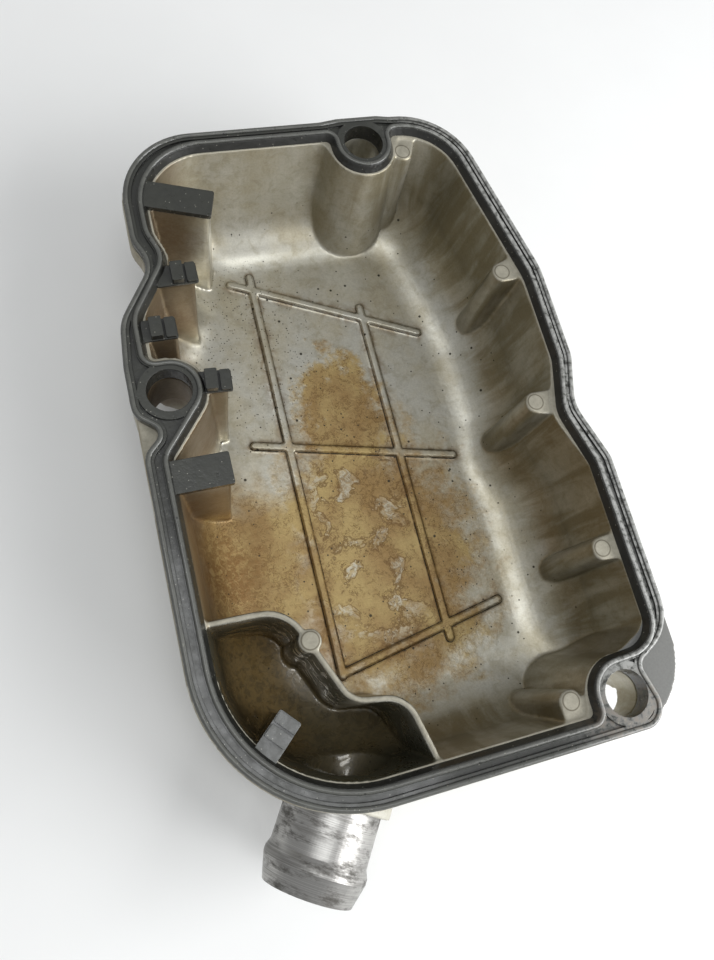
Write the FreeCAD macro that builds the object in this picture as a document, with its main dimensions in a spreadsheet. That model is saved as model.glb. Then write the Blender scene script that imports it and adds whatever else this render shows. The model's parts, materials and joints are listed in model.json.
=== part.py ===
import FreeCAD, Part
import math
import os

# Engine breather cover: a die-cast pan that lies on its outside, open side up, with a hose
# outlet in one corner and a push-on gasket round its rim.
# Frame: +Z out of the open side, +Y along the pan, origin on the resting face at the pan's centre.

os.makedirs("parts", exist_ok=True)
doc = FreeCAD.newDocument("breather_cover")
V = FreeCAD.Vector

# ---------------------------------------------------------------- driving dimensions (mm)
sheet = doc.addObject("Spreadsheet::Sheet", "Dimensions")
DIMENSIONS = [
    ("flange_height", 63.0, "resting face to the cast flange"),
    ("flange_depth", 9.0, "thickness of the cast flange"),
    ("floor_depth", 4.0, "thickness of the pan floor"),
    ("wall_depth", 4.5, "thickness of the pan wall"),
    ("floor_round", 28.0, "inside radius between wall and floor"),
    ("draft_angle", 5.0, "draft of the pan wall, degrees"),
    ("hole_radius", 9.0, "bolt hole"),
    ("boss_radius", 15.6, "bolt boss at the flange"),
    ("boss_foot_radius", 20.2, "bolt boss at the floor"),
    ("boss_short", 22.0, "flange to the bolt seat, top and corner bosses"),
    ("boss_long", 28.0, "flange to the bolt seat, side boss"),
    ("collar_radius", 10.8, "outside of the gasket's collar in a bolt hole"),
    ("collar_drop", 5.0, "depth of the collar below the flange"),
    ("gasket_depth", 3.2, "thickness of the gasket frame"),
    ("bead_width", 2.0, "width of a sealing bead"),
    ("bead_inset", 1.1, "edge of the gasket frame to the middle of a bead"),
    ("bead_crest", 0.8, "height of a sealing bead above the frame"),
    ("bead_seat", 1.3, "depth of a bead's groove"),
    ("tab_depth", 2.4, "thickness of a gasket tab"),
    ("outlet_radius", 19.2, "outside of the hose outlet"),
    ("outlet_bore", 16.4, "inside of the hose outlet"),
    ("outlet_bead", 20.4, "crest of the hose bead"),
    ("outlet_nose", 17.8, "outside of the outlet at its open end"),
    ("outlet_level", 33.0, "height of the outlet's axis"),
    ("outlet_bearing", 32.4, "outlet axis, degrees from -Y towards -X"),
    ("outlet_start", 137.0, "tube's inner end, measured along the outlet axis"),
    ("outlet_tip", 178.0, "tube's open end, measured along the outlet axis"),
    ("outlet_collar", 22.4, "outside of the cast collar round the outlet"),
    ("rib_width", 3.0, "width of a floor rib"),
    ("rib_rise", 1.6, "height of a floor rib"),
    ("post_radius", 4.5, "top of a small post"),
    ("pad_radius", 3.6, "ejector mark on a post"),
    ("gasket_lip", 1.6, "how far the gasket frame's inner side leans in at its foot"),
    ("groove_depth", 1.1, "depth of the dry groove between the two sealing beads"),
    ("groove_outer", 3.3, "outer edge of the gasket frame to the groove"),
    ("groove_inner", 2.6, "mouth of the gasket frame to the groove"),
    ("groove_ring", 12.4, "solid ring left round a bolt hole"),
    ("partition_depth", 2.3, "thickness of the partition's top edge"),
]
for row, (alias, value, note) in enumerate(DIMENSIONS, start=1):
    sheet.set(f"A{row}", note)
    sheet.set(f"B{row}", str(value))
    sheet.setAlias(f"B{row}", alias)
doc.recompute()


def size(alias):
    """A driving dimension, read from the sheet."""
    return float(sheet.get(alias))


FLANGE = size("flange_height")
FLOOR = size("floor_depth")
OVERLAP = 1.2          # how far an added feature starts inside the wall that carries it
POST_TOP = FLANGE - 0.8
BLOCK_TOP = FLANGE - 0.2

# ---------------------------------------------------------------- plan outlines
# A corner is (x, y, radius). Outlines run anticlockwise from the corner at -X +Y.
PAN_RIM = [(-72.6, 135.6, 27), (-72.6, 99, 16), (-68, 85.5, 12), (-83.6, 60.5, 18),
           (-83.6, -134.2, 52), (85.8, -134.2, 20), (85.8, -36.5, 12), (76.3, -12, 18),
           (84.3, 12.5, 16), (84, 52, 40), (65.3, 135.6, 26)]
PAN_FLOOR = [(-42, 108, 10), (-44, 92, 14), (-43, 84, 20), (-52, 62, 14),
             (-53, -104, 20), (54, -104, 14), (54, -34, 20), (52, -14, 30),
             (53, 8, 20), (52, 50, 30), (39, 108, 12)]
FLANGE_EDGE = [(-83.6, 145.2, 34), (-83.8, 94, 14), (-78.2, 82, 12), (-94.3, 58, 22),
               (-94.8, -145.2, 63), (96.6, -145.2, 33), (95.9, -36, 16), (87.4, -10.5, 18),
               (93.9, 12, 20), (93.6, 56.5, 40), (73, 145.2, 37)]
GASKET_EDGE = [(-82.8, 144.4, 33), (-83, 94, 15), (-77.4, 82, 12.8), (-93.4, 58, 21),
               (-95.3, 38, 30), (-95.3, 17.5, 9), (-85.2, 9.2, 4), (-93.9, 0.8, 9),
               (-94, -144.4, 62), (83.1, -144.4, 9), (76.8, -120.3, 4), (95.2, -109.8, 20),
               (95.1, -36, 15), (86.8, -10.5, 18.8), (93.1, 12, 19), (92.8, 56.5, 39),
               (72.3, 144.4, 34), (43.4, 144.4, 12), (37, 145.5, 12),
               (18, 145.5, 12), (9.6, 144.4, 12)]
GASKET_MOUTH = [(-75.2, 138, 29), (-75.2, 98, 16), (-70.2, 84.5, 13), (-86.8, 59, 16),
                (-86.8, 38.7, 4.5), (-66.8, 38.7, 12.4), (-66.8, 21.1, 12.4), (-85.4, -1.4, 8),
                (-85.6, -136.6, 54), (54.4, -136.6, 4), (54.4, -116.6, 13), (87.6, -114.6, 13),
                (87.5, -37, 12), (80.6, -12, 16), (86.6, 12, 16), (86.4, 54, 38),
                (67, 138, 27), (41.2, 138, 4), (40.8, 119, 12.9), (15.2, 119, 12.9),
                (14.8, 138, 4)]
BOLTS = {"top": (28.0, 131.9), "side": (-79.7, 25.8), "corner": (67.4, -129.6)}


def unit(angle):
    """Unit vector at an angle in degrees from +X."""
    return V(math.cos(math.radians(angle)), math.sin(math.radians(angle)), 0)


def rounded_wire(corners, z):
    """Closed wire of straight runs and tangent arcs through the given corners."""
    points = [V(x, y, z) for x, y, radius in corners]
    runs = []
    arcs = []
    for index, (x, y, radius) in enumerate(corners):
        here = points[index]
        back = (points[index - 1] - here).normalize()
        ahead = (points[(index + 1) % len(points)] - here).normalize()
        half = back.getAngle(ahead) / 2
        if radius <= 0:
            runs.append((here, here))
            arcs.append(None)
            continue
        reach = radius / math.tan(half)
        middle = here + (back + ahead).normalize() * (radius / math.sin(half) - radius)
        start = here + back * reach
        end = here + ahead * reach
        runs.append((start, end))
        arcs.append(Part.Arc(start, middle, end).toShape())
    edges = []
    for index, arc in enumerate(arcs):
        if arc is not None:
            edges.append(arc)
        start = runs[index][1]
        end = runs[(index + 1) % len(runs)][0]
        if (end - start).Length > 1e-4:
            edges.append(Part.LineSegment(start, end).toShape())
    return Part.Wire(edges)


def offset_corners(corners, distance, closed=True):
    """Corners moved to the right of the walk by distance: outwards on an anticlockwise outline."""
    count = len(corners)
    moved = []
    for index, (x, y, radius) in enumerate(corners):
        here = V(x, y, 0)
        before = V(*corners[index - 1][:2], 0)
        after = V(*corners[(index + 1) % count][:2], 0)
        if not closed and index == 0:
            before = here * 2 - after
        if not closed and index == count - 1:
            after = here * 2 - before
        walk_in = (here - before).normalize()
        walk_out = (after - here).normalize()
        right_in = V(walk_in.y, -walk_in.x, 0)
        right_out = V(walk_out.y, -walk_out.x, 0)
        corner = here + (right_in + right_out) * (distance / (1 + right_in.dot(right_out)))
        turns_left = walk_in.cross(walk_out).z > 0
        new_radius = radius + distance if turns_left else radius - distance
        moved.append((corner.x, corner.y, max(new_radius, 0.3) if radius > 0 else 0))
    return moved


def prism(corners, low, high):
    """Solid between two heights with the given outline."""
    face = Part.Face(rounded_wire(corners, low))
    return face.extrude(V(0, 0, high - low))


def drafted(foot, head, low, high):
    """Solid whose outline changes evenly from foot to head."""
    return Part.makeLoft([rounded_wire(foot, low), rounded_wire(head, high)], True, True)


def blend_corners(first, last, share):
    """Outline part of the way from first to last."""
    return [tuple(a + (b - a) * share for a, b in zip(p, q)) for p, q in zip(first, last)]


def pan_solid(rim, floor, radius, lowest, highest):
    """Drafted pan form: straight wall above, quarter round down to the floor outline."""
    centre = lowest + radius
    lean = (highest - centre) * math.tan(math.radians(size("draft_angle")))
    whole = lean + radius
    waist = blend_corners(rim, floor, lean / whole)
    wires = []
    for step in range(9):
        turn = math.radians(90) * step / 8
        share = (lean + radius * (1 - math.cos(turn))) / whole
        wires.append(rounded_wire(blend_corners(rim, floor, share), centre - radius * math.sin(turn)))
    round_part = Part.makeLoft(wires, True, False)
    return drafted(waist, rim, centre, highest).fuse(round_part)


def tangent_corner(centre, radius, first, second):
    """Corner of the two tangents whose outward normals are at the given angles."""
    half = math.radians(second - first) / 2
    place = V(*centre, 0) + unit((first + second) / 2) * (radius / math.cos(half))
    return (place.x, place.y, radius)


def feature(name, shape):
    """Document object that holds a shape made with Part's own functions."""
    made = doc.addObject("Part::Feature", name)
    made.Shape = shape
    return made


def primitive(kind, name, place, **bindings):
    """Part primitive whose sizes are bound to cells of the sheet."""
    made = doc.addObject(kind, name)
    for prop, expression in bindings.items():
        made.setExpression(prop, expression)
    made.Placement = place
    return made


def union(name, members):
    made = doc.addObject("Part::MultiFuse", name)
    made.Shapes = members
    return made


def cut(name, base, tools):
    """Boolean difference; several tools are joined first."""
    made = doc.addObject("Part::Cut", name)
    made.Base = base
    made.Tool = tools[0] if len(tools) == 1 else union(name + "_tools", tools)
    return made


def upright(x, y, z=0.0):
    return FreeCAD.Placement(V(x, y, z), FreeCAD.Rotation())


# ---------------------------------------------------------------- bolt bosses inside the pan
def boss_corners(name, radius):
    """Plan of a bolt boss with its feet in the wall behind it."""
    centre = BOLTS[name]
    if name == "top":
        wall = PAN_RIM[0][1] + OVERLAP
        spread = (radius + (wall - centre[1]) * math.sin(math.radians(20))) / math.cos(math.radians(20))
        left, right = centre[0] - spread, centre[0] + spread
        return [(left - 14, wall + 6, 0), (left - 14, wall, 0), (left, wall, 6),
                tangent_corner(centre, radius, 200, 270), tangent_corner(centre, radius, 270, 340),
                (right, wall, 6), (right + 10, wall, 0), (right + 10, wall + 6, 0)]
    if name == "side":
        wall = PAN_RIM[4][0] - OVERLAP
        low = tangent_corner(centre, radius, 0, -39.6)
        slope = math.tan(math.radians(50.4))
        return [(wall - 6, centre[1] + 30, 0), (wall - 6, -16, 0), (wall, -16, 0),
                (wall, low[1] - (low[0] - wall) * slope, 8), low,
                tangent_corner(centre, radius, 0, 90), (wall, centre[1] + radius, 3.4),
                (wall, centre[1] + 30, 0)]
    wall_x = PAN_RIM[5][0] + OVERLAP
    wall_y = PAN_RIM[5][1] - OVERLAP
    left = tangent_corner(centre, radius, 90, 172)
    right = tangent_corner(centre, radius, 62, 90)
    rise = (wall_x - right[0]) * math.tan(math.radians(28))
    return [(wall_x + 6, wall_y - 6, 0), (wall_x + 6, centre[1] + 44, 0), (wall_x, centre[1] + 44, 0),
            (wall_x, right[1] - rise + 16, 12), right, left,
            (centre[0] - radius - 1.2, wall_y, 5), (centre[0] - radius - 16, wall_y, 0),
            (centre[0] - radius - 16, wall_y - 6, 0)]


def tongue(place, bearing, radius, reach, spread=0.0):
    """Plan with a round end at place and sides that run out along the bearing."""
    ahead = unit(bearing)
    side = unit(bearing + 90)
    corners = []
    for along, across, fillet in ((-radius, -radius, radius), (reach, -radius - spread, 0),
                                  (reach, radius + spread, 0), (-radius, radius, radius)):
        spot = V(*place, 0) + ahead * along + side * across
        corners.append((spot.x, spot.y, fillet))
    return corners


POSTS = {
    "post_top": ((46.7, 127.8), 75, 9),
    "post_upper": ((76.0, 59.0), 12, 9),
    "post_middle": ((71.5, -5.1), -8, 9),
    "post_lower": ((79.5, -72.9), 0, 9),
    "post_corner": ((45.7, -127.2), -80, 9),
}
# Blocks that stand under the gasket's tabs and clips: centre, length, width, bearing of the length.
BLOCKS = {
    "block_upper": ((-63.0, 112.8), 32, 10.2, -17.5),
    "block_clip_1": ((-69.5, 76.8), 18, 7.6, 0),
    "block_clip_2": ((-80.5, 52.9), 17, 7.6, 0),
    "block_clip_3": ((-64.5, 27.0), 16, 7.6, -4),
    "block_side": ((-74.8, -9.7), 23, 11.6, 0),
    "block_corner": ((-68.6, -112.6), 19, 7.6, 42),
}
RIBS = {
    "rib_long_1": ((-28.2, 106.5), (-29.3, -96.0)),
    "rib_long_2": ((24.2, 81.3), (23.8, -91.4)),
    "rib_cross_1": ((-38.6, 103.8), (51.0, 62.6)),
    "rib_cross_2": ((-44.8, 17.2), (50.7, -5.6)),
    "rib_cross_3": ((-28.4, -95.2), (51.7, -79.8)),
}
PARTITION = [(-88, -66.3, 0), (-54, -67.3, 16), (-37.5, -106, 10), (-17, -109.3, 12), (-10.4, -138, 0)]
PARTITION_PAD = (-47.5, -81.0)


def band_corners(path, depth):
    """Outline of a strip of even thickness along an open path."""
    one_side = offset_corners(path, depth / 2, closed=False)
    other_side = offset_corners(path, -depth / 2, closed=False)
    return one_side + other_side[::-1]


def block_corners(centre, length, width, bearing, corner=1.5):
    along = unit(bearing)
    across = unit(bearing + 90)
    corners = []
    for a, b in ((-1, -1), (1, -1), (1, 1), (-1, 1)):
        spot = V(*centre, 0) + along * (a * length / 2) + across * (b * width / 2)
        corners.append((spot.x, spot.y, corner))
    return corners


def rib_shape(start, end):
    """Low rib on the floor with half-round ends."""
    run = V(*end, 0) - V(*start, 0)
    middle = V(*start, 0) + run * 0.5
    bearing = math.degrees(math.atan2(run.y, run.x))
    width = size("rib_width")
    corners = block_corners((middle.x, middle.y), run.Length + width, width, bearing, width * 0.49)
    foot = offset_corners(corners, 0.5)
    return drafted(foot, corners, FLOOR - 0.5, FLOOR + size("rib_rise"))


# ---------------------------------------------------------------- housing casting
def outlet_place(distance):
    """Placement whose +Z runs out along the outlet axis, at a distance from its foot point."""
    bearing = 270 - size("outlet_bearing")
    ahead = unit(bearing)
    foot = V(28.9, -18.95, size("outlet_level"))
    return FreeCAD.Placement(foot + ahead * distance, FreeCAD.Rotation(V(0, 0, 1), ahead))


wall = size("wall_depth")
outer_form = pan_solid(offset_corners(PAN_RIM, wall), PAN_FLOOR, size("floor_round") + FLOOR, 0.0, FLANGE)
inner_form = pan_solid(PAN_RIM, PAN_FLOOR, size("floor_round"), FLOOR, FLANGE)
flange_plate = prism(FLANGE_EDGE, FLANGE - size("flange_depth"), FLANGE)

inside = []
for name in BOLTS:
    inside.append(drafted(boss_corners(name, size("boss_foot_radius")),
                          boss_corners(name, size("boss_radius")), FLOOR - 2, FLANGE))
for place, bearing, reach in POSTS.values():
    inside.append(drafted(tongue(place, bearing, size("post_radius") + 1.6, reach, 1.4),
                          tongue(place, bearing, size("post_radius"), reach, 1.4), FLOOR - 2, POST_TOP))
    inside.append(Part.makeCylinder(size("pad_radius"), 1.5, V(*place, POST_TOP - 1.1)))
for centre, length, width, bearing in BLOCKS.values():
    inside.append(drafted(block_corners(centre, length + 1.5, width + 1.5, bearing),
                          block_corners(centre, length, width, bearing), FLOOR - 2, BLOCK_TOP))
for start, end in RIBS.values():
    inside.append(rib_shape(start, end))
inside.append(drafted(band_corners(PARTITION, size("partition_depth") + 3),
                      band_corners(PARTITION, size("partition_depth")), FLOOR - 2, POST_TOP))
pad = V(*PARTITION_PAD, FLOOR - 2)
inside.append(Part.makeCone(size("post_radius") + 1.5, size("post_radius"), POST_TOP - FLOOR + 2, pad))
inside.append(Part.makeCylinder(size("pad_radius"), 1.5, V(*PARTITION_PAD, POST_TOP - 1.1)))
details = inside[0].multiFuse(inside[1:])
pocket = feature("pan_pocket", inner_form.cut(details))

solids = [feature("pan_outside", outer_form), feature("flange_plate", flange_plate)]
openings = [pocket]
SEATS = {"top": ("boss_short", 13.6, 90), "side": ("boss_long", 15.9, 180), "corner": ("boss_short", 15.4, -90)}
for name, (depth, lug_radius, bearing) in SEATS.items():
    x, y = BOLTS[name]
    seat = FLANGE - size(depth)
    lug = primitive("Part::Cylinder", "lug_" + name, upright(x, y, seat), Height="Dimensions." + depth)
    lug.Radius = lug_radius
    solids.append(lug)
    openings.append(primitive("Part::Cylinder", "bolt_bore_" + name, upright(x, y, seat - 1),
                              Radius="Dimensions.hole_radius", Height="Dimensions.boss_long + 3"))
    drop = size("collar_drop")
    openings.append(primitive("Part::Cylinder", "collar_seat_" + name, upright(x, y, FLANGE - drop),
                              Radius="Dimensions.collar_radius", Height="Dimensions.collar_drop + 1"))
    recess = drafted(tongue((x, y), bearing, 15.2, 30), tongue((x, y), bearing, 11.6, 30), -0.5, seat)
    openings.append(feature("bolt_head_recess_" + name, recess))
solids.append(primitive("Part::Cylinder", "outlet_boss", outlet_place(120),
                        Radius="Dimensions.outlet_collar", Height="Dimensions.outlet_start - 112"))
openings.append(primitive("Part::Cylinder", "outlet_port", outlet_place(122),
                          Radius="Dimensions.outlet_bore", Height="Dimensions.outlet_start - 120"))
openings.append(primitive("Part::Cylinder", "outlet_socket", outlet_place(size("outlet_start")),
                          Radius="Dimensions.outlet_radius", Height="30"))
housing = cut("housing_casting_form", union("housing_solids", solids), openings)

# ---------------------------------------------------------------- hose outlet
tip = size("outlet_tip")
tube = [
    primitive("Part::Cylinder", "tube_barrel", outlet_place(size("outlet_start")),
              Radius="Dimensions.outlet_radius",
              Height="Dimensions.outlet_tip - Dimensions.outlet_start - 9"),
    primitive("Part::Cone", "tube_bead_rise", outlet_place(tip - 14), Radius1="Dimensions.outlet_radius",
              Radius2="Dimensions.outlet_bead", Height="3"),
    primitive("Part::Cylinder", "tube_bead_crest", outlet_place(tip - 11),
              Radius="Dimensions.outlet_bead", Height="2"),
    primitive("Part::Cone", "tube_nose", outlet_place(tip - 9), Radius1="Dimensions.outlet_bead",
              Radius2="Dimensions.outlet_nose", Height="9"),
]
tube_bore = primitive("Part::Cylinder", "tube_bore", outlet_place(size("outlet_start") - 1),
                      Radius="Dimensions.outlet_bore", Height="60")
outlet = cut("outlet_spigot_form", union("tube_solids", tube), [tube_bore])


# ---------------------------------------------------------------- gasket
def bead(corners, low, high, width):
    """Round-topped strip whose middle runs along the given outline."""
    path = rounded_wire(corners, low)
    start = path.Edges[0].valueAt(path.Edges[0].FirstParameter)
    tangent = path.Edges[0].tangentAt(path.Edges[0].FirstParameter)
    side = V(-tangent.y, tangent.x, 0).normalize() * (width / 2)
    shoulder = V(0, 0, high - low - width * 0.3)
    crest = V(0, 0, high - low)
    sides = [Part.LineSegment(start - side, start + side).toShape(),
             Part.LineSegment(start + side, start + side + shoulder).toShape(),
             Part.Arc(start + side + shoulder, start + crest, start - side + shoulder).toShape(),
             Part.LineSegment(start - side + shoulder, start - side).toShape()]
    return path.makePipeShell([Part.Wire(sides)], True, False)


FRAME_TOP = FLANGE + size("gasket_depth")
TAB_LOW = FLANGE + 0.2
TAB_TOP = TAB_LOW + size("tab_depth")
# Plain tabs of the gasket: centre, length, width, bearing of the length.
TABS = {
    "tab_upper": ((-62.0, 113.1), 33.0, 12.6, -17.5),
    "tab_side": ((-74.9, -9.7), 25.4, 13.4, 0),
}
# Clips of the gasket: centre, bearing and length of the base plate.
CLIPS = {
    "clip_1": ((-67.6, 77.2), 0, 17.2),
    "clip_2": ((-80.0, 53.4), 0, 16.4),
    "clip_3": ((-62.8, 27.4), -4, 16.2),
    "clip_corner": ((-68.1, -112.2), 42, 20.0),
}
frame = prism(GASKET_EDGE, FLANGE, FRAME_TOP)
mouth = drafted(offset_corners(GASKET_MOUTH, -size("gasket_lip")), GASKET_MOUTH, FLANGE, FRAME_TOP)
pieces = []
for centre, length, width, bearing in TABS.values():
    pieces.append(prism(block_corners(centre, length, width, bearing, 1.0), TAB_LOW, TAB_TOP))
for centre, bearing, length in CLIPS.values():
    ahead = unit(bearing)
    pieces.append(prism(block_corners(centre, length, 9.4, bearing, 0.8), TAB_LOW, TAB_LOW + 1.0))
    for back_off, wide, top in ((8.2, 5.0, FRAME_TOP + 1.4), (2.6, 4.2, TAB_TOP)):
        spot = V(*centre, 0) + ahead * (length / 2 - back_off)
        pieces.append(prism(block_corners((spot.x, spot.y), wide, 8.8, bearing, 0.6), TAB_LOW, top))
gasket_frame = feature("gasket_frame", frame.cut(mouth).multiFuse(pieces))
collars = []
gasket_holes = []
for name, (x, y) in BOLTS.items():
    collars.append(primitive("Part::Cylinder", "collar_" + name, upright(x, y, FLANGE - size("collar_drop")),
                             Radius="Dimensions.collar_radius", Height="Dimensions.collar_drop + 1"))
    gasket_holes.append(primitive("Part::Cylinder", "collar_hole_" + name, upright(x, y, FLANGE - 10),
                                  Radius="Dimensions.hole_radius", Height="20"))
inset = size("bead_inset")
seat_level = FRAME_TOP - size("bead_seat")
crest_level = FRAME_TOP + size("bead_crest")
outer_path = offset_corners(GASKET_EDGE, -inset)
inner_path = offset_corners(GASKET_MOUTH, inset)
outer_bead = bead(outer_path, seat_level, crest_level, size("bead_width"))
inner_bead = bead(inner_path, seat_level, crest_level, size("bead_width"))
groove_low = FRAME_TOP - size("groove_depth")
groove = prism(offset_corners(GASKET_EDGE, -size("groove_outer")), groove_low, FRAME_TOP + 1)
groove_keep = [prism(offset_corners(GASKET_MOUTH, size("groove_inner")), groove_low - 1, FRAME_TOP + 2)]
for x, y in BOLTS.values():
    groove_keep.append(Part.makeCylinder(size("groove_ring"), 5, V(x, y, groove_low - 1)))
groove = feature("dry_groove", groove.cut(groove_keep))
side_seal = prism(offset_corners(GASKET_MOUTH, inset + 1), FLANGE, FLANGE + 1.1)
side_seal = side_seal.cut(prism(offset_corners(GASKET_MOUTH, inset - 1), FLANGE - 1, FLANGE + 3))
seals = [feature("outer_bead_form", outer_bead), feature("inner_bead_form", inner_bead),
         feature("side_seal_form", side_seal)]
carrier = cut("gasket_carrier_form", union("gasket_solids", [gasket_frame] + collars), gasket_holes + seals + [groove])

doc.recompute()
NODES = {
    "housing_casting": housing,
    "outlet_spigot": outlet,
    "gasket_carrier": carrier,
    "outer_seal_bead": seals[0],
    "inner_seal_bead": seals[1],
    "casting_side_seal": seals[2],
}
for made in doc.Objects:
    if "Invalid" in made.State or "Error" in made.State:
        raise RuntimeError(f"{made.Name} did not compute: {made.State}")
for node, made in NODES.items():
    shape = made.Shape
    if shape.isNull() or not shape.isValid():
        raise RuntimeError(f"{node} has no valid shape")
    box = shape.BoundBox
    print(node, len(shape.Solids), "solid", round(shape.Volume), [round(v, 1) for v in (
        box.XMin, box.XMax, box.YMin, box.YMax, box.ZMin, box.ZMax)])
for node, made in NODES.items():
    made.Label = node
    made.Shape.exportStep(f"parts/{node}.step")
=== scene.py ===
import bpy
import json
from mathutils import Matrix, Vector

# An oily die-cast breather cover lies open side up on a white table, seen from above.
# Shader lengths are in millimetres. Everything else is in metres, in the CAD frame.

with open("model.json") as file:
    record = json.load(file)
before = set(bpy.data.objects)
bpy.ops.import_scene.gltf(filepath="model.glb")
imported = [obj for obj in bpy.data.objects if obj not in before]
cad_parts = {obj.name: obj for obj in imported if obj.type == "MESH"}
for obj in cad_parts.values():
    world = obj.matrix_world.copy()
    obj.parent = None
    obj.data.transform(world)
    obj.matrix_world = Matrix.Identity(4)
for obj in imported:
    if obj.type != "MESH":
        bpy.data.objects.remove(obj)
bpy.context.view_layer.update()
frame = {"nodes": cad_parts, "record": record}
NODES = frame["nodes"]
MOUNTS = {mount["name"]: mount for mount in frame["record"]["mounts"]}
SCENE = bpy.context.scene
MM = 0.001


# ---------------------------------------------------------------- shader building
class Shader:
    """One material. Each method adds nodes and returns an output; places are in millimetres."""

    OCCLUSION_SAMPLES = 6
    BEVEL_SAMPLES = 4

    def __init__(self, name):
        self.material = bpy.data.materials.new(name)
        self.material.use_nodes = True
        self.tree = self.material.node_tree
        self.principled = self.tree.nodes["Principled BSDF"]
        coordinates = self.tree.nodes.new("ShaderNodeTexCoord").outputs["Object"]
        self.place = self.vector("SCALE", coordinates, scale=1 / MM)
        split = self.tree.nodes.new("ShaderNodeSeparateXYZ")
        self.feed(split.inputs[0], self.place)
        self.x, self.y, self.z = split.outputs

    def feed(self, socket, value):
        """Links an output to the socket, or sets the socket to a plain value."""
        if isinstance(value, bpy.types.NodeSocket):
            self.tree.links.new(value, socket)
        elif isinstance(value, tuple) and len(value) == 3 and socket.type == "RGBA":
            socket.default_value = (*value, 1)
        else:
            socket.default_value = value

    def set(self, **values):
        """Sets or links the Principled shader's inputs, named with _ for a space."""
        for name, value in values.items():
            self.feed(self.principled.inputs[name.replace("_", " ")], value)

    def vector(self, operation, first, second=None, scale=None):
        """Vector sum, and so on; a length or dot product is a number."""
        node = self.tree.nodes.new("ShaderNodeVectorMath")
        node.operation = operation
        self.feed(node.inputs[0], first)
        if second is not None:
            self.feed(node.inputs[1], second)
        if scale is not None:
            self.feed(node.inputs["Scale"], scale)
        return node.outputs["Value"] if operation in ("LENGTH", "DOT_PRODUCT") else node.outputs[0]

    def math(self, operation, first, second=0.0, clamp=False):
        """Number worked out from one or two numbers."""
        node = self.tree.nodes.new("ShaderNodeMath")
        node.operation = operation
        node.use_clamp = clamp
        self.feed(node.inputs[0], first)
        self.feed(node.inputs[1], second)
        return node.outputs[0]

    def times(self, first, *others):
        """Product of two or more masks or numbers."""
        for other in others:
            first = self.math("MULTIPLY", first, other)
        return first

    def most(self, first, *others):
        """The largest of several masks."""
        for other in others:
            first = self.math("MAXIMUM", first, other)
        return first

    def least(self, first, *others):
        """The smallest of several distances."""
        for other in others:
            first = self.math("MINIMUM", first, other)
        return first

    def join(self, x, y, z):
        """Vector made of three numbers."""
        node = self.tree.nodes.new("ShaderNodeCombineXYZ")
        for socket, value in zip(node.inputs, (x, y, z)):
            self.feed(socket, value)
        return node.outputs[0]

    def noise(self, size, detail=3.0, roughness=0.55, place=None, shift=0.0, distortion=0.0):
        """Noise between about 0.2 and 0.8 whose features are about size millimetres across."""
        node = self.tree.nodes.new("ShaderNodeTexNoise")
        moved = self.vector("ADD", place or self.place, (shift, shift * 0.7, -shift))
        self.feed(node.inputs["Vector"], moved)
        node.inputs["Scale"].default_value = 1 / size
        node.inputs["Detail"].default_value = detail
        node.inputs["Roughness"].default_value = roughness
        node.inputs["Distortion"].default_value = distortion
        return node.outputs["Fac"]

    def step(self, value, low, high):
        """0 below low and 1 above high, smooth between; falls instead of rising if low is above high."""
        node = self.tree.nodes.new("ShaderNodeMapRange")
        node.interpolation_type = "SMOOTHSTEP"
        falls = low > high
        self.feed(node.inputs["Value"], value)
        node.inputs["From Min"].default_value = min(low, high)
        node.inputs["From Max"].default_value = max(low, high)
        node.inputs["To Min"].default_value = 1.0 if falls else 0.0
        node.inputs["To Max"].default_value = 0.0 if falls else 1.0
        return node.outputs["Result"]

    def mix(self, share, first, second):
        """Colour between first and second."""
        node = self.tree.nodes.new("ShaderNodeMix")
        node.data_type = "RGBA"
        self.feed(node.inputs["Factor"], share)
        self.feed(node.inputs["A"], first)
        self.feed(node.inputs["B"], second)
        return node.outputs["Result"]

    def over(self, colour, top, mask, strength=None):
        """Colour with top laid over it where mask is 1, at the given strength."""
        share = mask if strength is None else self.times(mask, strength)
        return self.mix(share, colour, top)

    def blend(self, share, first, second):
        """Number between first and second."""
        node = self.tree.nodes.new("ShaderNodeMix")
        node.data_type = "FLOAT"
        self.feed(node.inputs["Factor"], share)
        self.feed(node.inputs["A"], first)
        self.feed(node.inputs["B"], second)
        return node.outputs["Result"]

    def zone(self, centre, radii, soft=0.35, ragged=0.7, fringe=None):
        """1 within an ellipsoid, falling to 0 at its edge. The edge wanders, in finer fringes if given."""
        offset = self.vector("SUBTRACT", self.place, centre)
        scaled = self.vector("DIVIDE", offset, radii)
        reach = self.vector("LENGTH", scaled)
        noise = self.noise(fringe, 6, 0.66) if fringe else self.noise(14, 3, 0.55)
        wander = self.times(self.math("SUBTRACT", noise, 0.5), ragged)
        return self.step(self.math("ADD", reach, wander), 1.0, 1.0 - soft)

    def distance_to_line(self, start, end):
        """Distance in plan from a straight line between two points."""
        run = Vector(end) - Vector(start)
        middle = (Vector(start) + Vector(end)) / 2
        ahead = run.normalized()
        offset = self.vector("SUBTRACT", self.place, (*middle, 0.0))
        along = self.math("ABSOLUTE", self.vector("DOT_PRODUCT", offset, (*ahead, 0.0)))
        past_end = self.math("MAXIMUM", self.math("SUBTRACT", along, run.length / 2), 0.0)
        across = self.vector("DOT_PRODUCT", offset, (-ahead.y, ahead.x, 0.0))
        return self.vector("LENGTH", self.join(past_end, across, 0.0))

    def distance_to_point(self, x, y):
        """Distance in plan from a point, as from a very short line."""
        return self.distance_to_line((x - 0.01, y), (x + 0.01, y))

    def past(self, point, across):
        """How far a place lies past point, measured along across."""
        return self.vector("DOT_PRODUCT", self.vector("SUBTRACT", self.place, point), across)

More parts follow.
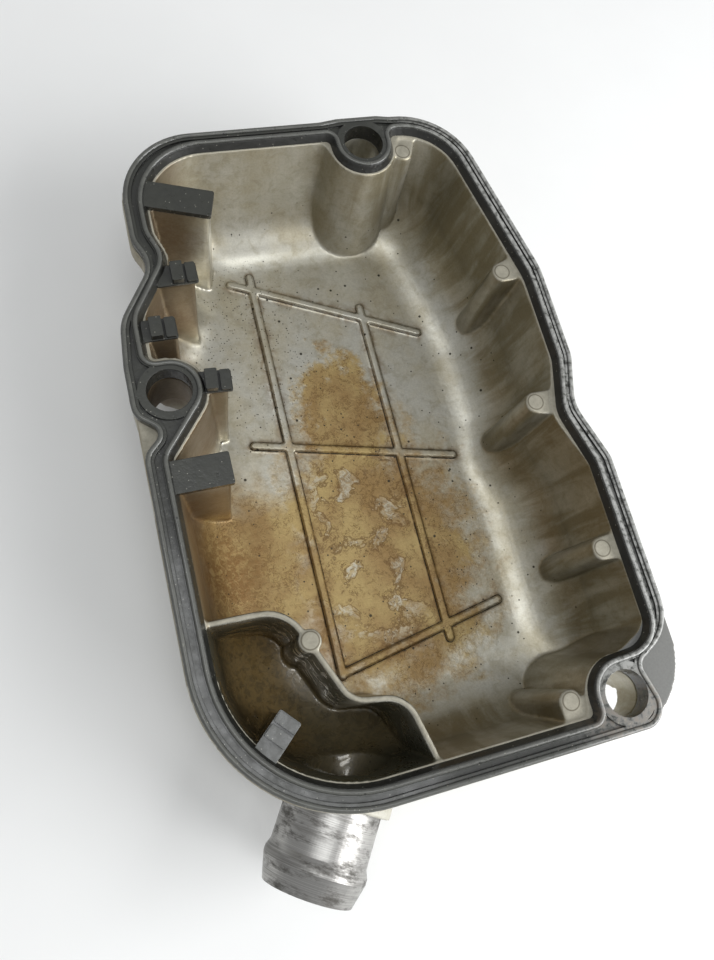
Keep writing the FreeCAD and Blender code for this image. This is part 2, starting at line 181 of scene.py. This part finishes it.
    def near(self, value, target, width):
        """1 where value is at the target, falling to 0 at width away."""
        return self.step(self.math("ABSOLUTE", self.math("SUBTRACT", value, target)), width, width * 0.3)

    def rounded(self, radius):
        """Normal that shades sharp edges as if they had a small radius in millimetres."""
        node = self.tree.nodes.new("ShaderNodeBevel")
        node.samples = self.BEVEL_SAMPLES
        node.inputs["Radius"].default_value = radius * MM
        return node.outputs["Normal"]

    def specks(self, spacing, size, share, shift=0.0):
        """Small round spots, at most one in each cell of the given spacing."""
        node = self.tree.nodes.new("ShaderNodeTexVoronoi")
        self.feed(node.inputs["Vector"], self.vector("ADD", self.place, (shift, shift, shift)))
        node.inputs["Scale"].default_value = 1 / spacing
        draw = self.vector("DOT_PRODUCT", node.outputs["Color"], (1, 0, 0))
        chosen = self.math("LESS_THAN", draw, share)
        spot = self.step(node.outputs["Distance"], size / spacing, size / spacing * 0.6)
        return self.times(spot, chosen)

    def occlusion(self, distance, only_local=False):
        """1 where the view out to distance is open, falling to 0 where it is closed in."""
        node = self.tree.nodes.new("ShaderNodeAmbientOcclusion")
        node.samples = self.OCCLUSION_SAMPLES
        node.only_local = only_local
        node.inputs["Distance"].default_value = distance * MM
        return node.outputs["AO"]

    def crevice(self, distance):
        """1 in corners and grooves narrower than distance millimetres, 0 in the open."""
        return self.math("SUBTRACT", 1.0, self.occlusion(distance), clamp=True)

    def outside(self, normal, centre, reach):
        """1 on faces that look away from centre with a clear view past the object itself."""
        away = self.vector("DOT_PRODUCT", normal, self.vector("SUBTRACT", self.place, centre))
        view = self.occlusion(reach, only_local=True)
        return self.times(self.step(away, -2, 6), self.step(view, 0.45, 0.65))

    def bump(self, height, strength, distance, under=None):
        """Normal raised by height, on top of the normal under."""
        node = self.tree.nodes.new("ShaderNodeBump")
        node.inputs["Strength"].default_value = strength
        node.inputs["Distance"].default_value = distance * MM
        self.feed(node.inputs["Height"], height)
        if under is not None:
            self.feed(node.inputs["Normal"], under)
        return node.outputs["Normal"]

    def on(self, *nodes):
        """Gives the material to CAD nodes."""
        for node in nodes:
            mesh = NODES[node].data
            mesh.materials.clear()
            mesh.materials.append(self.material)


# ---------------------------------------------------------------- cast aluminium
BARE = (0.52, 0.505, 0.44)
BARE_WARM = (0.44, 0.40, 0.30)
OLIVE = (0.25, 0.215, 0.13)
OCHRE = (0.40, 0.275, 0.082)
OCHRE_DEEP = (0.275, 0.158, 0.038)
BROWN = (0.11, 0.052, 0.013)
BAKED_FLOOR = (0.19, 0.093, 0.023)
LEFT_WALL = (0.165, 0.115, 0.058)
RIB_STAIN = (0.15, 0.075, 0.020)
CHAMBER_FLOOR = (0.33, 0.22, 0.082)
CHAMBER_WALL = (0.026, 0.026, 0.017)
CHAMBER_WET = (0.050, 0.050, 0.028)
CHAMBER_VEIN = (0.05, 0.04, 0.02)
# Black of oil, also used as painted shade in corners and creases.
OIL_AND_SHADE_BLACK = (0.022, 0.018, 0.011)
SOOT = (0.02, 0.02, 0.015)
WEATHERED = (0.20, 0.17, 0.12)
CORNER_GRIME_AND_SHADE = (0.07, 0.06, 0.04)
TOP_DULL = (0.31, 0.29, 0.23)
TOP_BRIGHT = (0.38, 0.355, 0.285)
LUG = (0.165, 0.165, 0.156)
PAD_RING = (0.09, 0.075, 0.045)

# Middle lines of the floor ribs and middles of the post tops, in millimetres.
RIBS = [((-28.2, 106.5), (-29.3, -96.0)),
        ((24.2, 81.3), (23.8, -91.4)),
        ((-38.6, 103.8), (51.0, 62.6)),
        ((-44.8, 17.2), (50.7, -5.6)),
        ((-28.4, -95.2), (51.7, -79.8))]
PADS = [(46.7, 127.8), (76.0, 59.0), (71.5, -5.1), (79.5, -72.9), (45.7, -127.2), (-47.5, -81.0)]
RIB_FOOT = 2.1
PAD_EDGE = 3.4
RIM_HEIGHT = 62.0

cast = Shader("oily_cast_aluminium")
cloud = cast.noise(26, 4, 0.6)
mottle = cast.noise(6, 6, 0.62, distortion=0.7)
island = cast.noise(15, 6, 0.60, shift=40, distortion=0.35)
vein = cast.noise(2.6, 5, 0.7, shift=11, distortion=0.8)
fine = cast.noise(0.9, 3, 0.6)
surface = cast.tree.nodes.new("ShaderNodeNewGeometry").outputs
level = cast.vector("DOT_PRODUCT", surface["Normal"], (0, 0, 1))
facing_y = cast.vector("DOT_PRODUCT", surface["True Normal"], (0, 1, 0))
end_wall = cast.step(cast.math("ABSOLUTE", facing_y), 0.4, 0.8)

# Grey metal, darker and warmer in clouds.
colour = cast.mix(cast.step(cloud, 0.35, 0.7), BARE, BARE_WARM)
colour = cast.over(colour, OLIVE, cast.step(mottle, 0.45, 0.7), 0.35)
plain = colour

# Oil that ran down the walls in streaks.
run_x = cast.noise(10, 5, 0.6, place=cast.vector("MULTIPLY", cast.place, (0.2, 1, 0.2)), distortion=0.5)
run_y = cast.noise(10, 5, 0.6, place=cast.vector("MULTIPLY", cast.place, (1, 0.2, 0.2)), distortion=0.5)
streak = cast.blend(end_wall, run_x, run_y)
oily_wall = cast.most(cast.step(cast.x, -10, 44),
                      cast.times(cast.step(cast.y, 92, 116), 0.25),
                      cast.step(cast.y, -88, -112))
runs = cast.times(oily_wall, cast.step(cast.z, 5, 16), cast.step(streak, 0.38, 0.64))
colour = cast.over(colour, OLIVE, runs, 0.8)

# Dried oil on the floor: a tan film with grey islands, dark tide lines and fine cracks.
film = cast.most(cast.zone((2, -46, 4), (60, 84, 22), 0.45, 1.2, 12),
                 cast.zone((1, 26, 4), (27, 42, 12), 0.4, 1.5, 9),
                 cast.zone((-58, -40, 10), (40, 52, 28), 0.5))
bare_island = cast.times(cast.step(island, 0.54, 0.60),
                         cast.zone((-4, -42, 4), (30, 62, 12), 0.5),
                         cast.blend(cast.step(vein, 0.4, 0.6), 0.75, 0.2))
covered = cast.times(film, cast.math("SUBTRACT", 1.0, bare_island))
film_colour = cast.mix(cast.step(cloud, 0.35, 0.62), OCHRE, OCHRE_DEEP)
colour = cast.over(colour, film_colour, covered, 0.88)
tide = cast.times(cast.near(island, 0.54, 0.022), cast.zone((2, -34, 4), (34, 70, 12), 0.3))
cracks = cast.times(cast.near(vein, 0.5, 0.032), cast.times(film, cast.step(mottle, 0.42, 0.56)))
colour = cast.over(colour, BROWN, cast.most(cast.times(tide, 0.65), cast.times(cracks, 0.8)))

# Baked brown along the left wall and its foot, and below the partition.
baked = cast.most(cast.zone((-74, -42, 12), (42, 32, 28), 0.8, 1.0, 10),
                  cast.times(cast.zone((-88, -24, 36), (24, 56, 44), 0.8), 0.9),
                  cast.times(cast.zone((-36, -84, 8), (14, 34, 16), 0.8), 0.7),
                  cast.times(cast.zone((-70, 104, 44), (26, 22, 34), 0.8), 0.5),
                  cast.times(cast.zone((-82, 20, 36), (34, 34, 46), 0.8), 0.9),
                  cast.times(cast.zone((-80, 62, 38), (36, 32, 46), 0.8), 0.8))
baked = cast.times(baked, cast.blend(0.5, 1.0, cast.step(vein, 0.35, 0.6)))
left_side = cast.times(cast.step(cast.x, -50, -62), cast.step(cast.z, 10, 26))
colour = cast.over(colour, LEFT_WALL, left_side, 0.75)
baked_colour = cast.mix(cast.step(cast.z, 8, 18), BAKED_FLOOR, BROWN)
colour = cast.over(colour, baked_colour, baked, 0.9)

# Wet outlet chamber, outside the partition's two slanting stretches.
beyond_post = cast.past((-54, -67.3, 0), (1, 0.426, 0))
beyond_end = cast.past((-17, -109.3, 0), (1, 0.23, 0))
chamber = cast.most(cast.times(cast.step(cast.y, -67, -68.5), cast.step(beyond_post, 0.7, -0.7)),
                    cast.times(cast.step(cast.y, -108, -109.5), cast.step(beyond_end, 0.7, -0.7)))
chamber_colour = cast.mix(cast.step(cast.z, 12, 30), CHAMBER_FLOOR, CHAMBER_WALL)
chamber_colour = cast.over(chamber_colour, CHAMBER_WET, cast.step(cast.x, -66, -44), 0.7)
chamber_colour = cast.over(chamber_colour, CHAMBER_VEIN, cast.step(vein, 0.45, 0.6), 0.5)
colour = cast.over(colour, chamber_colour, chamber, 0.94)

# Brown beside the ribs, and black along the ribs' feet and in corners: oil, with painted shade in the
# corners and creases.
rib = cast.least(*[cast.distance_to_line(start, end) for start, end in RIBS])
stain = cast.times(cast.step(rib, 6.5, 1.0), cast.step(mottle, 0.38, 0.6), cast.step(cast.z, 5.4, 4.8))
colour = cast.over(colour, RIB_STAIN, stain, 0.6)
rib_line = cast.times(cast.near(rib, RIB_FOOT, 0.34),
                      cast.step(cast.z, 6.5, 5.5),
                      cast.step(cast.noise(5, 4, 0.6, shift=7), 0.34, 0.50),
                      cast.blend(cast.step(cast.y, 10, 50), 1.0, 0.65))
# Concave creases and close corners are painted dark, found by pointiness and occlusion: painted shade
# mixed with oil.
foot_oil_and_shade = cast.times(cast.step(surface["Pointiness"], 0.470, 0.440), cast.step(mottle, 0.30, 0.48))
corner_oil_and_shade = cast.times(cast.step(cast.crevice(3.5), 0.34, 0.8), cast.step(mottle, 0.25, 0.55))
oil_and_crease_shade = cast.most(cast.times(corner_oil_and_shade, 0.6), cast.times(foot_oil_and_shade, 0.9), cast.times(rib_line, 0.95))
colour = cast.over(colour, OIL_AND_SHADE_BLACK, oil_and_crease_shade)

# Black specks, thickest at the upper left and the lower right.
low_down = cast.step(cast.z, 30, 20)
spots = cast.most(
    cast.times(cast.specks(1.3, 0.36, 0.36), cast.zone((-34, 66, 4), (44, 62, 14), 0.5)),
    cast.times(cast.specks(1.9, 0.42, 0.20, 53), cast.zone((44, -58, 8), (26, 46, 18), 0.6)),
    cast.times(cast.specks(3.4, 0.50, 0.30, 71), low_down),
    cast.times(cast.specks(4.2, 0.62, 0.45, 17), cast.zone((48, -40, 8), (24, 62, 18), 0.6)),
    cast.times(cast.specks(8.5, 0.85, 0.5, 31), low_down))
colour = cast.over(colour, OIL_AND_SHADE_BLACK, spots, 0.92)

# The outside is dull and clouded, with none of the oil.
outside = cast.outside(surface["Normal"], (0, 0, 45), 120)
weathered = cast.over(plain, WEATHERED, cast.step(cloud, 0.42, 0.66), 0.45)
# Corners on the outside are darkened by occlusion: grime with painted shade.
weathered = cast.over(weathered, CORNER_GRIME_AND_SHADE, cast.step(cast.crevice(9), 0.25, 0.7), 0.6)
colour = cast.over(colour, weathered, outside)

# Machined tops are pale, the flange's lug is grey, and a dark ring runs round each post's pad.
clean = cast.times(cast.step(cast.z, RIM_HEIGHT - 0.3, RIM_HEIGHT), cast.step(level, 0.7, 0.93))
top = cast.mix(cast.step(mottle, 0.35, 0.65), TOP_DULL, TOP_BRIGHT)
top = cast.over(top, LUG, cast.times(cast.step(cast.x, 66, 68), cast.step(cast.y, -96, -98)))
colour = cast.over(colour, top, clean, cast.blend(oil_and_crease_shade, 1.0, 0.3))
pad = cast.least(*[cast.distance_to_point(x, y) for x, y in PADS])
pad_ring = cast.times(cast.near(pad, PAD_EDGE, 0.42), cast.step(cast.z, 58, 60))
colour = cast.over(colour, PAD_RING, pad_ring, 0.75)
colour = cast.over(colour, SOOT, cast.step(fine, 0.35, 0.7), 0.12)

# Oil is wet and glossy, film and tops are duller than the metal.
wet = cast.most(cast.times(chamber, cast.step(mottle, 0.50, 0.60)), cast.times(oil_and_crease_shade, 0.8))
rough = cast.blend(cast.step(cloud, 0.3, 0.7), 0.34, 0.44)
rough = cast.blend(covered, rough, 0.46)
rough = cast.blend(wet, rough, 0.14)
rough = cast.blend(clean, rough, 0.62)
rough = cast.blend(cast.times(outside, cast.math("SUBTRACT", 1.0, clean)), rough, 0.5)
metal = cast.blend(cast.most(covered, baked), 0.8, 0.5)
metal = cast.blend(chamber, metal, 0.15)
metal = cast.blend(cast.times(cast.step(cast.y, 88, 112), end_wall), metal, 0.5)
metal = cast.blend(clean, metal, 0.35)
grain = cast.bump(fine, 0.28, 0.10)
grain = cast.bump(cast.times(covered, vein), 0.5, 0.5, grain)
grain = cast.bump(cast.noise(3.2, 3, 0.5), 0.14, 0.4, grain)
cast.set(Base_Color=colour, Roughness=rough, Metallic=metal, Normal=grain,
         Coat_Weight=cast.blend(outside, wet, 0.0), Coat_Roughness=0.08)
cast.on("housing_casting")

# Cast edges are rounded on the shown mesh only.
casting = NODES["housing_casting"]
remesh = casting.modifiers.new("cast_skin", "REMESH")
remesh.mode = "VOXEL"
remesh.voxel_size = 0.7 * MM
remesh.use_smooth_shade = True
soften = casting.modifiers.new("cast_rounding", "SMOOTH")
soften.factor = 0.5
soften.iterations = 2
thin = casting.modifiers.new("fewer_faces", "DECIMATE")
thin.ratio = 0.3

# ---------------------------------------------------------------- hose outlet
STEEL_DARK = (0.31, 0.303, 0.29)
STEEL_LIGHT = (0.46, 0.45, 0.43)
GRIME_AND_SHADE = (0.045, 0.04, 0.032)

tube = Shader("worn_outlet_metal")
along = tube.vector("DOT_PRODUCT", tube.place, tuple(MOUNTS["outlet_bore"]["axis"]))
turning = tube.noise(0.35, 2, 0.5, place=tube.join(along, 0.0, 0.0))
smudge_place = tube.join(tube.times(along, 2.2), tube.times(tube.x, 0.7), tube.z)
smudge = tube.noise(11, 7, 0.72, place=smudge_place)
bands = tube.noise(5, 4, 0.6, place=tube.join(along, tube.times(tube.x, 0.15), 0.0))
# Smudges and bands are grime; the crevice term is painted shade in the tube's corners.
grime_and_shade = tube.most(tube.step(smudge, 0.46, 0.66),
                  tube.times(tube.step(bands, 0.52, 0.62), 0.5),
                  tube.times(tube.step(tube.crevice(3), 0.2, 0.6), 0.9))
colour = tube.mix(tube.step(turning, 0.35, 0.65), STEEL_DARK, STEEL_LIGHT)
colour = tube.over(colour, GRIME_AND_SHADE, grime_and_shade, 0.9)
tube.set(Base_Color=colour,
         Metallic=tube.blend(grime_and_shade, 0.95, 0.4),
         Roughness=tube.blend(grime_and_shade, 0.32, 0.5),
         Normal=tube.bump(turning, 0.22, 0.05, tube.bump(smudge, 0.15, 0.2, tube.rounded(0.4))))
tube.on("outlet_spigot")

# ---------------------------------------------------------------- gasket
DUST = (0.37, 0.37, 0.35)
SIDE_SHADE = (0.010, 0.010, 0.009)
GROOVE_SHADE = (0.006, 0.006, 0.005)
RUSTY = (0.14, 0.105, 0.07)
PALE_GRIT = (0.34, 0.33, 0.28)
BLACK_GRIT = (0.008, 0.008, 0.006)


def oily_black(name, base, light, gloss):
    """Charcoal polymer with a wiped oil film, dusty on the right, with painted shade on its side faces and
    in its grooves.
    """
    shader = Shader(name)
    wipe = shader.noise(9, 4, 0.6, distortion=0.5)
    grit = shader.noise(0.7, 2, 0.6)
    smear = shader.noise(2.4, 4, 0.6)
    normal = shader.tree.nodes.new("ShaderNodeNewGeometry").outputs["Normal"]
    level = shader.vector("DOT_PRODUCT", normal, (0, 0, 1))
    dusty = shader.times(shader.step(shader.x, 30, 85), shader.step(smear, 0.3, 0.6),
                         shader.step(level, 0.5, 0.9))
    corner = shader.times(shader.zone((72, -136, 66), (30, 16, 30), 0.6), shader.step(smear, 0.4, 0.6))
    colour = shader.mix(shader.step(wipe, 0.15, 0.85), base, light)
    colour = shader.over(colour, DUST, dusty, 0.9)
    # Side faces and grooves are painted dark: painted shade.
    colour = shader.over(colour, SIDE_SHADE, shader.step(level, 0.8, 0.4), 0.8)
    colour = shader.over(colour, GROOVE_SHADE, shader.step(shader.crevice(2.2), 0.24, 0.70), 0.9)
    colour = shader.over(colour, RUSTY, corner, 0.6)
    colour = shader.over(colour, PALE_GRIT, shader.specks(1.5, 0.24, 0.30), 0.7)
    colour = shader.over(colour, BLACK_GRIT, shader.specks(3.7, 0.55, 0.25, 9), 0.8)
    shader.set(Base_Color=colour,
               Roughness=shader.blend(shader.step(smear, 0.3, 0.7), gloss, gloss + 0.22),
               Coat_Weight=shader.blend(shader.step(wipe, 0.75, 0.25), 0.2, 0.7), Coat_Roughness=0.09,
               Normal=shader.bump(grit, 0.45, 0.12, shader.bump(smear, 0.35, 0.4, shader.rounded(0.45))))
    return shader


nylon = oily_black("oily_nylon", (0.015, 0.016, 0.012), (0.034, 0.035, 0.028), 0.27)
nylon.on("gasket_carrier")
rubber = oily_black("oily_rubber", (0.050, 0.051, 0.044), (0.105, 0.106, 0.094), 0.24)
rubber.on("outer_seal_bead", "inner_seal_bead", "casting_side_seal")

for node in ("gasket_carrier", "outlet_spigot", "outer_seal_bead", "inner_seal_bead"):
    for polygon in NODES[node].data.polygons:
        polygon.use_smooth = False

# ---------------------------------------------------------------- table
bpy.ops.mesh.primitive_plane_add(size=3, location=(0, 0, 0))
table = bpy.context.object
table.name = "table"
white = Shader("white_table")
white.set(Base_Color=white.mix(white.noise(60, 3), (0.82, 0.82, 0.81), (0.86, 0.86, 0.85)),
          Roughness=0.55,
          Normal=white.bump(white.noise(1.5, 2), 0.05, 0.1))
table.data.materials.append(white.material)

# ---------------------------------------------------------------- light
world = bpy.data.worlds.new("room")
SCENE.world = world
world.use_nodes = True
background = world.node_tree.nodes["Background"].inputs
background["Color"].default_value = (0.97, 0.985, 1.0, 1)
background["Strength"].default_value = 0.45


def area_light(name, place, along, length, width, power, colour):
    """Soft rectangular light at place, facing the origin, with its length near the direction along."""
    data = bpy.data.lights.new(name, "AREA")
    data.shape = "RECTANGLE"
    data.size = length
    data.size_y = width
    data.energy = power
    data.color = colour
    lamp = bpy.data.objects.new(name, data)
    back = Vector(place).normalized()
    side = (Vector(along) - back * back.dot(Vector(along))).normalized()
    axes = Matrix((side, back.cross(side), back)).transposed()
    lamp.matrix_world = Matrix.Translation(place) @ axes.to_4x4()
    SCENE.collection.objects.link(lamp)


area_light("window", (0.9, -0.62, 0.64), (0.6, 0.9, 0), 1.2, 0.8, 20, (0.98, 0.99, 1.0))
area_light("ceiling", (-0.12, -0.02, 1.9), (-0.69, 0.72, 0), 1.4, 0.5, 9, (0.97, 0.99, 1.0))

# ---------------------------------------------------------------- camera
CAMERA_PLACE = Vector((-85.7, -97.8, 349.75)) * MM
CAMERA_RIGHT = Vector((0.9539, -0.2453, 0.1730))
CAMERA_UP = Vector((0.1890, 0.9387, 0.2885))
CAMERA_LENS = 28.5
camera_data = bpy.data.cameras.new("camera")
camera_data.lens = CAMERA_LENS
camera_data.clip_start = 0.01
camera = bpy.data.objects.new("camera", camera_data)
right = CAMERA_RIGHT.normalized()
up = (CAMERA_UP - right * right.dot(CAMERA_UP)).normalized()
turn = Matrix((right, up, right.cross(up))).transposed()
camera.matrix_world = Matrix.Translation(CAMERA_PLACE) @ turn.to_4x4()
SCENE.collection.objects.link(camera)
SCENE.camera = camera
SCENE.view_settings.view_transform = "Standard"
